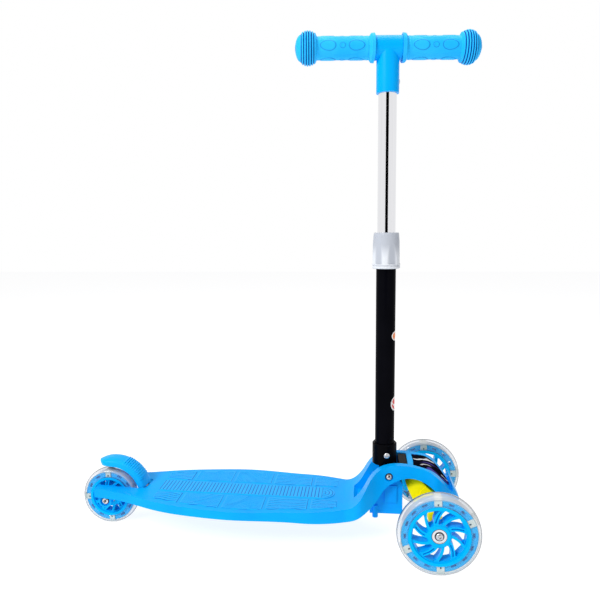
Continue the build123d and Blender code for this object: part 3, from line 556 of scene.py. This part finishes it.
STICKER_FACING = radians(-16)
sticker("sticker_red", 0.218, 11.3 * MM, radians(38), (0.72, 0.01, 0.01, 1), STICKER_FACING)
sticker("sticker_orange", 0.326, 7.5 * MM, radians(36), (0.85, 0.20, 0.02, 1), STICKER_FACING)

# ---------------------------------------------------------------- height lock and inner tube
# Pale grey twist collar with six flat flutes that end in pointed arches, over a chromed steel tube.
FLUTE_R = 20.15
FLUTE_PHASE = radians(-66)


def collar_shape():
    """Turned sleeve in millimetres, cut by six flats that end in arches because the body tapers."""
    z = np.array([430.4, 430.5, 431.2, 434.0, 434.5, 435.2, 435.9, 436.4])
    r = np.array([19.4, 20.4, 21.3, 21.5, 21.0, 20.7, 21.0, 21.7])
    body = np.linspace(437.2, 477.0, 60)
    z = np.concatenate([z, body, [478.6, 480.2, 482.0, 483.6, 484.7, 485.2, 485.3]])
    taper = 21.8 - 2.0 * ((body - 437.2) / 39.8) ** 1.3
    r = np.concatenate([r, taper, [19.7, 19.6, 19.45, 19.2, 18.7, 18.0, 17.2]])
    angle = np.linspace(0, 2 * pi, 240, endpoint=False)
    turn, height = np.meshgrid(angle, z)
    radius = np.repeat(r[:, None], angle.size, 1)
    nearest = (turn - FLUTE_PHASE + pi / 6) % (pi / 3) - pi / 6
    flat = FLUTE_R / np.cos(nearest)
    cut = (height > 437.6) & (height < 479)
    radius = np.where(cut, np.minimum(radius, np.maximum(flat, radius - 1.5)), radius)
    bore = np.array([[14.2, 485.3], [14.2, 481.7], [17.8, 481.7],
                     [17.8, 454.5], [15.6, 454.5], [15.6, 430.4]])
    radius = np.vstack([radius, np.repeat(bore[:, :1], angle.size, 1)])
    height = np.vstack([height, np.repeat(bore[:, 1:], angle.size, 1)])
    turn = np.vstack([turn, np.repeat(angle[None, :], len(bore), 0)])
    grid = np.stack([STEM + radius * MM * np.cos(turn), radius * MM * np.sin(turn), height * MM], -1)
    return ring_skin(grid)


def collar_plastic():
    """Pale grey plastic, with painted highlights on the ridges between the flats and painted shade in the
    flats.
    """
    place = start_material("collar_grey")
    r = radius_from(place.axis("X") - STEM, place.axis("Y"))
    speckle = place.noise(MOULD_GRAIN, 2.0)
    # Painted highlight where the radius is large, on the ridges and rims, and painted shade in the flats
    ridge_highlight = (r - 21.0).ramp(-0.7, 0.6)
    return finish_material(place, height=speckle, depth=0.01 * MM, Specular_IOR_Level=0.1,
                           Base_Color=ridge_highlight.between((0.48, 0.51, 0.57, 1), (0.74, 0.77, 0.82, 1)),
                           Roughness=0.28 + 0.08 * speckle)


add_piece("lock_collar_fluted", sharpen(collar_shape(), 24), collar_plastic(), "collar", "grey_plastic",
          "lock_collar")
wear(plastic("wedge_white", (0.7, 0.7, 0.68, 1), (0.62, 0.62, 0.6, 1)), "lock_wedge", "guide_bush")


def chrome():
    """Chrome plate: mirror bright, with hairline draw marks along the tube."""
    place = start_material("chrome_plate")
    hair = place.node("Mapping", i3=(900.0, 900.0, 6.0), i0=place).noise(1.0, 3.0)
    return finish_material(place, height=hair, depth=0.002 * MM, Metallic=1.0,
                           Base_Color=hair.between((0.72, 0.72, 0.74, 1), (0.86, 0.86, 0.88, 1)),
                           Roughness=0.045 + 0.05 * hair)


wear(chrome(), "inner_tube", "handlebar_tube")

# ---------------------------------------------------------------- tee and grips
# Blue moulded tee screwed to the tube, and two soft grips: flange, barrel with raised ovals, ringed bulb.
tee_blue = plastic("tee_blue", (0.0, 0.42, 0.97, 1), (0.0, 0.38, 0.94, 1), rough=0.26, grain=0.008)
soften("tee_joint", tee_blue, "handle", "blue_plastic", 0.9 * MM, angle=28)
BAR_TURN = radians(6.3)
BAR_WAY = (cos(BAR_TURN), sin(BAR_TURN), 0)
TEE_FACE = 16.8 * MM
tee_screw = skin(screw_head((STEM + TEE_FACE * BAR_WAY[0], TEE_FACE * BAR_WAY[1], 0.708), BAR_WAY,
                            4.0 * MM, 1.5 * MM, "cross", 3 * MM))
add_piece("tee_screw_turned", sharpen(tee_screw), zinc, "handle", "steel", "tee_screw")
# Sizes of the grips, in millimetres but for the bar's height
BAR_Z = 0.7566
BARREL_R = 16.6
OVALS = (47.2, 89.3)
OVAL_LONG = 11.2
OVAL_WIDE = 7.0
DOT = 68.1
RINGS_START = 109.95
RING_PITCH = 3.7


def grip_profile(s):
    """Radius of a grip at s millimetres from the stem: flange, barrel, bulb of five rings, dome."""
    barrel = BARREL_R + 0.35 * np.exp(-((s - 31) / 2.0) ** 2)
    flange = BARREL_R + 4.2 * step(29.0 - s, 2.2, 4.4) + 0.35 * step(24.0 - s, 2.0, 4.0)
    bulb = 24.9 - 0.035 * (s - 118.4) ** 2
    phase = ((s - RINGS_START) % RING_PITCH) / RING_PITCH
    rings = np.sqrt(np.maximum(0, 1 - (2 * phase - 1) ** 2))
    ringed = bulb - 3.2 * (1 - rings)
    dome = 19.4 * np.sqrt(np.maximum(0, 1 - ((s - 127.6) / 9.85) ** 2))
    shoulder = BARREL_R + 5.0 * step(s, 106.6, 3.2)
    radius = np.where(s < 30, flange, barrel)
    radius = np.where(s >= 104.6, shoulder, radius)
    radius = np.where((s >= 109.8) & (s <= 128.3), np.maximum(ringed, 20.2), radius)
    return np.where(s > 128.3, dome, radius)


def grip_shape(way):
    """A grip turned about the bar: its profile, plus ovals, a small ring and curved ridges on four sides."""
    s = np.concatenate([[20.0, 20.05, 20.3], np.linspace(20.8, 30, 20), np.linspace(30.6, 105, 150),
                        np.linspace(105.2, 128.3, 150), np.linspace(128.5, 137.2, 26), [137.38]])
    angle = np.linspace(0, 2 * pi, 128, endpoint=False)
    along, turn = np.meshgrid(s, angle, indexing="ij")
    radius = grip_profile(along)
    radius[0] = 17.5
    radius[1] = 19.4
    local = (turn + pi / 4) % (pi / 2) - pi / 4
    arc = local * 16.7
    bump = np.zeros_like(radius)
    for middle in OVALS:
        lean = 1 + 0.014 * (along - 68.2) * (1 if middle > DOT else -1)
        wide = OVAL_WIDE * np.clip(lean, 0.6, 1.3)
        oval = np.sqrt(((along - middle) / OVAL_LONG) ** 2 + (arc / wide) ** 2)
        bump = bump + 0.55 * (1 - step(oval, 0.93, 0.14)) + 0.25 * np.exp(-((oval - 1.0) / 0.06) ** 2)
    dot = np.hypot(along - DOT, arc)
    bump = bump + 0.5 * np.exp(-((dot - 3.1) / 0.75) ** 2)
    lens = radians(44.6) - radians(19) * ((along - 68) / 33) ** 2
    ridge = np.exp(-((np.abs(local) - lens) * 16.7 / 0.7) ** 2) * (np.abs(along - 68) < 33)
    bump = bump + 0.35 * ridge
    radius = radius + bump
    wave = 0.9 * np.cos(2 * turn) * np.clip((26 - along) / 6, 0, 1)
    along = np.maximum(along + np.maximum(wave, 0), 19.9)
    around = np.ones((1, angle.size))
    along = np.vstack([19.95 * around, along, 137.4 * around])
    radius = np.vstack([11.05 * around, radius, 6.0 * around])
    radius[-2] = np.minimum(radius[-2], 7.5)
    turn = np.repeat(angle[None, :], along.shape[0], 0)
    reach, side = way * along * MM, radius * MM * np.sin(turn)
    x = STEM + reach * BAR_WAY[0] - side * BAR_WAY[1]
    y = reach * BAR_WAY[1] + side * BAR_WAY[0]
    return skin(np.stack([x, y, BAR_Z + radius * MM * np.cos(turn)], -1))


def grip_rubber():
    """Blue grip rubber, with painted shade in its ring grooves, round its ovals and round its small ring."""
    place = start_material("grip_rubber")
    x, y, z = place.axis("X") - STEM, place.axis("Y"), place.axis("Z") - BAR_Z
    s = (x * BAR_WAY[0] + y * BAR_WAY[1]).math("ABSOLUTE") * 1000.0
    side = y * BAR_WAY[0] - x * BAR_WAY[1]
    arc = side.math("ARCTAN2", z).math("WRAP", pi / 4, -pi / 4) * BARREL_R
    ringed = (s - 109.3).ramp(-0.4, 0.4) * (129.0 - s).ramp(-0.4, 0.4)
    wave = ((s - RINGS_START) / RING_PITCH).math("PINGPONG", 0.5)
    groove = (1 - wave.ramp(0.12, 0.26)) * ringed
    out = (s - sum(OVALS) / 2).math("ABSOLUTE") - (OVALS[1] - OVALS[0]) / 2
    away = out / OVAL_LONG
    ratio = arc / (OVAL_WIDE - 0.09 * out)
    oval = (away * away + ratio * ratio).math("SQRT")
    outline = (oval - 0.93).ramp(-0.05, 0.05) * (1.09 - oval).ramp(-0.05, 0.05)
    flat = s - DOT
    dot = (flat * flat + arc * arc).math("SQRT")
    ring = (dot - 3.6).ramp(-0.4, 0.1) * (4.6 - dot).ramp(-0.2, 0.4)
    # Painted shade: dark in the ring grooves and round the ovals and the small ring
    shade = groove.math("MAXIMUM", 0.45 * outline.math("MAXIMUM", ring))
    cloud = place.noise(22.0, 3.0).ramp(0.35, 0.65)
    speckle = place.noise(1200.0, 3.0)
    rubber = cloud.between((0.01, 0.45, 0.96, 1), (0.02, 0.50, 0.99, 1))
    return finish_material(place, height=speckle, depth=0.02 * MM,
                           Base_Color=shade.between(rubber, (0.0, 0.035, 0.36, 1)),
                           Roughness=0.44 + 0.1 * speckle, Specular_IOR_Level=0.12)


grip_blue = grip_rubber()
add_piece("left_grip_soft", sharpen(grip_shape(1), 50), grip_blue, "handle", "blue_rubber", "left_grip")
add_piece("right_grip_soft", sharpen(grip_shape(-1), 50), grip_blue, "handle", "blue_rubber", "right_grip")

# ---------------------------------------------------------------- brake fender
# Blue moulded mudguard over the rear wheel, pressed down with the heel; fine ribs cross its forward half.
FENDER = (-0.266, 0.0535)
FENDER_PIN = (-0.213, 0.062)
FENDER_R = 61.0
FENDER_HALF = 17.0
FENDER_ROOT = 15.2
TIP_START = 96.9
TIP_SWEEP = 15.9
FENDER_END = 112.8
RIB_PITCH = 3.5


def fender_shape():
    """Arched shell: a rounded channel section swept along an arc, drawn in to a round tip.

    Rows follow the arc from the root at 15 degrees; columns go round the section, over the crown, down
    to one lip, back under the crown and up from the other lip.
    """
    sweep = np.concatenate([np.linspace(FENDER_ROOT, 92, 150), np.linspace(92.4, FENDER_END, 50)])
    share = np.clip((sweep - TIP_START) / TIP_SWEEP, 0, 1)
    half = FENDER_HALF * np.sqrt(np.maximum(1 - share ** 2, 0.006))
    lip = 11.9 - 4.4 * np.clip((sweep - 88) / 25, 0, 1) ** 1.5
    wall = 3.2 - 1.0 * share
    v = np.linspace(-1, 1, 41)
    over_y = np.sign(v) * np.abs(np.sin(v * pi / 2)) ** 0.78
    over_h = -(1 - np.cos(v * pi / 2) ** 0.40)
    over_h[0] = over_h[-1] = -1.0
    y_out = half[:, None] * over_y[None, :]
    h_out = lip[:, None] * over_h[None, :]
    inner = np.maximum(half - wall, 0.15 * half)[:, None]
    y_in = inner * over_y[None, ::-1]
    h_in = np.maximum(h_out[:, ::-1] - 0.9 * wall[:, None], -lip[:, None])
    phase = ((sweep - 24) % RIB_PITCH) / RIB_PITCH
    rib = 1.5 * (1 - phase) * step(sweep, 27.5, 2.5) * step(68 - sweep, 0, 3)
    h_out = h_out + rib[:, None] * (np.abs(v)[None, :] < 0.86) - 0.5
    y = np.hstack([y_out, y_in])
    radius = FENDER_R + np.hstack([h_out, h_in])
    a = np.radians(sweep)[:, None]
    x = FENDER[0] + radius * MM * np.cos(a)
    return skin(np.stack([x, y * MM, FENDER[1] + radius * MM * np.sin(a)], -1))


def knuckle(start, end):
    """Half of the hinge knuckle: a ring round the pin from one side distance to another."""
    r = np.array([2.6, 5.7, 6.0, 6.0, 5.7, 2.6])
    y = np.array([start, start, start + 0.3, end - 0.3, end, end])
    angle = np.linspace(0, 2 * pi, 48, endpoint=False)
    spots = np.stack([FENDER_PIN[0] + np.outer(np.cos(angle), r) * MM, np.repeat(y[None, :] * MM, 48, 0),
                      FENDER_PIN[1] + np.outer(np.sin(angle), r) * MM], -1)
    return ring_skin(spots)


fender_blue = plastic("fender_blue", (0.01, 0.47, 0.98, 1), (0.0, 0.43, 0.95, 1), rough=0.36)
fender = join("fender", [fender_shape(), knuckle(6.1, 16.9), knuckle(-16.9, -6.1)])
add_piece("brake_fender_ribbed", sharpen(fender, 30), fender_blue, "brake", "blue_plastic", "brake_fender")

# ---------------------------------------------------------------- wheels
# Clear polyurethane tyre cast round a blue rim with ten swept spokes, lamp blocks with a dark chip in each,
# and two bearings. Each wheel's sizes are its centre in metres, and the radii of its tyre, band and ring in
# millimetres.
def clear_urethane(name, centre, band_out):
    """Cast polyurethane: clear over the rim's band under a pale blue veil of painted light, painted white
    where it is solid for the white surroundings seen through it, and painted shade at its grazing outline and
    along the band's edge.
    """
    place = start_material(name)
    r = radius_from(place.axis("X") - centre[0], place.axis("Z") - centre[2])
    solid = (r - (band_out + 0.4)).ramp(-0.4, 0.5)
    # Painted shade along the edge of the rim's band
    band_edge_shade = (r - (band_out - 0.2)).ramp(-0.5, 0.0) * ((band_out + 0.9) - r).ramp(-0.4, 0.4)
    outline = place.node("LayerWeight", out="Facing", Blend=0.5).ramp(0.52, 0.70)
    # Painted shade at the grazing outline and along the band's edge
    painted_shade = outline.math("MAXIMUM", 0.55 * band_edge_shade)
    cover = (painted_shade * 0.85).math("MAXIMUM", 0.05 + 0.34 * solid)
    cloud = place.noise(55.0, 2.0)
    # Pale blue veil of painted light over the band, and painted white where solid for the white surroundings
    # seen through it
    body = solid.between((0.45, 0.80, 1.0, 1), (0.92, 0.93, 0.95, 1))
    return finish_material(place, height=cloud, depth=0.05 * MM, Roughness=0.06 + 0.04 * cloud,
                           Base_Color=painted_shade.between(body, (0.05, 0.08, 0.12, 1)), Alpha=0.03 + cover,
                           Coat_Weight=0.6)


def tyre_shape(centre, radius, band_out, ring_out):
    """Closed ring: tread outside, a flange down each side of the rim's band, and a bay for the band."""
    out = np.linspace(0, pi, 25)
    tread_r = radius - 6.2 + 6.2 * np.sin(out) ** 0.8
    tread_y = 11.6 * np.cos(out)
    r = np.concatenate([[ring_out + 0.15, ring_out + 1.0, ring_out + 3.0], tread_r,
                        [ring_out + 3.0, ring_out + 1.0, ring_out + 0.15, ring_out + 0.15, band_out + 0.15,
                         band_out + 0.15, ring_out + 0.15]])
    y = np.concatenate([[11.2, 11.9, 12.0], tread_y, [-12.0, -11.9, -11.2, -7.7, -7.7, 7.7, 7.7]])
    angle = np.linspace(0, 2 * pi, 160, endpoint=False)
    spread = np.stack([np.outer(np.cos(angle), r), np.repeat(y[None, :], 160, 0),
                       np.outer(np.sin(angle), r)], -1)
    return ring_skin(np.array(centre) + spread * MM)


rim_blue = plastic("rim_blue", (0.0, 0.50, 0.98, 1), (0.0, 0.45, 0.96, 1), rough=0.26, grain=0.006,
                   specular=0.04)
lamp_white = plastic("lamp_white", (0.70, 0.75, 0.73, 1), (0.56, 0.62, 0.58, 1), rough=0.2, grain=0.004)
chip_dark = plastic("chip_dark", (0.05, 0.09, 0.12, 1), (0.03, 0.05, 0.08, 1))
FIRST_LAMP = 93.0
LAMPS = {"left_wheel": (0, 90, 180, 270), "right_wheel": (0, 67.5, 180, 247.5),
         "rear_wheel": (0, 90, 180, 270)}


def chip(centre, radius, angle, side):
    """Small diode seen in the face of a lamp, near its inner end, on one side of the wheel."""
    a = radians(angle)
    out, around = np.array((cos(a), 0, sin(a))), np.array((-sin(a), 0, cos(a)))
    middle = np.array(centre) + MM * (radius * out + side * 9.55 * np.array((0, 1, 0)))
    signs = [(i, j, k) for i in (-1, 1) for j in (-1, 1) for k in (-1, 1)]
    spots = [middle + MM * (1.3 * i * out + 1.0 * j * around + np.array((0, 0.25 * k, 0)))
             for i, j, k in signs]
    mesh = bpy.data.meshes.new("chip")
    mesh.from_pydata([tuple(spot) for spot in spots], [],
                     [(0, 1, 3, 2), (4, 6, 7, 5), (0, 4, 5, 1), (2, 3, 7, 6), (0, 2, 6, 4), (1, 5, 7, 3)])
    return mesh


TRACK_HALF = 0.109
WHEELS = {"left_wheel": ((FRONT_AXLE[0], TRACK_HALF, FRONT_AXLE[2]), 60, 54, 44),
          "right_wheel": ((FRONT_AXLE[0], -TRACK_HALF, FRONT_AXLE[2]), 60, 54, 44),
          "rear_wheel": (REAR_AXLE, 47.5, 42, 33)}
for wheel, (centre, radius, band_out, ring_out) in WHEELS.items():
    add_piece(wheel + "_tyre_clear", sharpen(tyre_shape(centre, radius, band_out, ring_out), 50),
              clear_urethane(wheel + "_urethane", centre, band_out),
              wheel, "clear_tyre", wheel + "_tyre")
    soften(wheel + "_rim", rim_blue, wheel, "blue_plastic", 0.45 * MM, rows=2)
    soften(wheel + "_lamps", lamp_white, wheel, "lamp_plastic", 0.6 * MM, rows=2)
    wear(ringed_steel(wheel + "_races", centre, 6.9, 10.2), wheel + "_bearings")
    wear(dark_wire, wheel + "_magnet")
    chips = [chip(centre, ring_out + 2.6, FIRST_LAMP - turn, side)
             for turn in LAMPS[wheel] for side in (-1, 1)]
    add_piece(wheel + "_chips", join("chips", chips), chip_dark, wheel, "lamp_plastic")

# ---------------------------------------------------------------- truck and axles
# Yellow nylon truck on a rubber bush; steel axles with button-head bolts.
truck_yellow = plastic("truck_yellow", (1.0, 0.86, 0.0, 1), (0.98, 0.82, 0.0, 1), rough=0.4)
soften("truck_body", truck_yellow, "truck", "yellow_plastic", 1.6 * MM)
wear(soft_rubber("bush_black", (0.012, 0.012, 0.012, 1), (0.006, 0.006, 0.006, 1)), "steering_bush",
     "brake_pad")
wear(zinc, "kingpin", "kingpin_nut", "front_axle", "front_spacers", "rear_spacers", "brake_pin",
     "rear_axle_nut")
AXLE_HEAD_Y = 118.8 * MM
REAR_HEAD_Y = -27.1 * MM
heads = [skin(screw_head((FRONT_AXLE[0], side * AXLE_HEAD_Y, FRONT_AXLE[2]), (0, side, 0), 5.4 * MM, 2.6 * MM,
                         "hex", 8 * MM)) for side in (-1, 1)]
add_piece("axle_bolts_turned", sharpen(join("axle_bolts", heads)), zinc, "truck", "steel", "axle_bolts")
rear_bolt = skin(screw_head((REAR_AXLE[0], REAR_HEAD_Y, REAR_AXLE[2]), (0, -1, 0), 6.0 * MM, 3.0 * MM,
                            "hex", 55 * MM))
add_piece("rear_axle_bolt_turned", sharpen(rear_bolt), ringed_steel("rear_steel", REAR_AXLE, 1.8, 4.9),
          "deck", "steel", "rear_axle_bolt")

# ---------------------------------------------------------------- studio
# Plain pale floor, even white light, two soft lamps, and a dark card that only reflections see.
FLOOR_HALF = 6.0
CARD_Y = -3.0
CARD_TOP = 3.0
DIM_FOR_LIGHT = 0.62


def stage_sheet(name, corners, material, hidden=()):
    """A flat sheet of the stage, given by its corners, that some kinds of ray pass through."""
    mesh = bpy.data.meshes.new(name)
    mesh.from_pydata(corners, [], [(0, 1, 2, 3)])
    mesh.materials.append(material)
    prop = bpy.data.objects.new(name, mesh)
    bpy.context.scene.collection.objects.link(prop)
    for ray in hidden:
        setattr(prop, "visible_" + ray, False)


def matt(name, colour, glow=0.0):
    """Flat paint for the stage, with a glow of its own."""
    return finish_material(start_material(name), Base_Color=colour, Roughness=0.9, Specular_IOR_Level=0.0,
                           Emission_Color=(1.0, 1.0, 1.0, 1), Emission_Strength=glow)


stage_sheet("floor", [(FLOOR_HALF * i, FLOOR_HALF * j, 0) for i, j in ((-1, -1), (1, -1), (1, 1), (-1, 1))],
            matt("floor_white", (0.34, 0.34, 0.35, 1), glow=0.84))
stage_sheet("card", [(x, CARD_Y, z) for x, z in ((-0.85, 0), (1.05, 0), (1.05, CARD_TOP), (-0.85, CARD_TOP))],
            matt("card_black", (0.0, 0.0, 0.0, 1)), hidden=("camera", "diffuse", "shadow", "transmission"))

world = bpy.data.worlds.new("studio")
bpy.context.scene.world = world
world.use_nodes = True
backdrop = world.node_tree.nodes["Background"]
backdrop.inputs["Color"].default_value = (1.0, 1.0, 1.0, 1)
# White to the eye and in reflections, and dimmer as a light
rays = world.node_tree.nodes.new("ShaderNodeLightPath")
dimmed = world.node_tree.nodes.new("ShaderNodeMath")
dimmed.operation = "MULTIPLY_ADD"
dimmed.inputs[1].default_value = -DIM_FOR_LIGHT
dimmed.inputs[2].default_value = 1.0
world.node_tree.links.new(rays.outputs["Is Diffuse Ray"], dimmed.inputs[0])
world.node_tree.links.new(dimmed.outputs[0], backdrop.inputs["Strength"])


def softbox(name, place, target, side, power):
    """A square area lamp, aimed at a target."""
    lamp = bpy.data.lights.new(name, "AREA")
    lamp.shape = "RECTANGLE"
    lamp.size = side
    lamp.size_y = side
    lamp.energy = power
    holder = bpy.data.objects.new(name, lamp)
    bpy.context.scene.collection.objects.link(holder)
    holder.location = place
    holder.rotation_euler = (Vector(target) - Vector(place)).to_track_quat("-Z", "Y").to_euler()


softbox("key", (-1.5, -2.1, 2.2), (0, 0, 0.25), 1.0, 66)
softbox("top", (0.2, 0.3, 2.6), (0, 0, 0.2), 1.6, 26)

# ---------------------------------------------------------------- camera
camera_data = bpy.data.cameras.new("camera")
camera_data.lens = 36
camera_data.sensor_width = 36
camera = bpy.data.objects.new("camera", camera_data)
bpy.context.scene.collection.objects.link(camera)
forward = Vector((-0.1090, 0.9871, -0.1173)).normalized()
level = Vector((0.99396, 0.10978, 0)).normalized()
upward = level.cross(forward)
ROLL = -0.008
right = cos(ROLL) * level + sin(ROLL) * upward
above = cos(ROLL) * upward - sin(ROLL) * level
turned = Matrix((right, above, -forward)).transposed().to_4x4()
camera.matrix_world = Matrix.Translation((0.1547, -0.9340, 0.4915)) @ turned
bpy.context.scene.camera = camera
bpy.context.scene.view_settings.view_transform = "Standard"
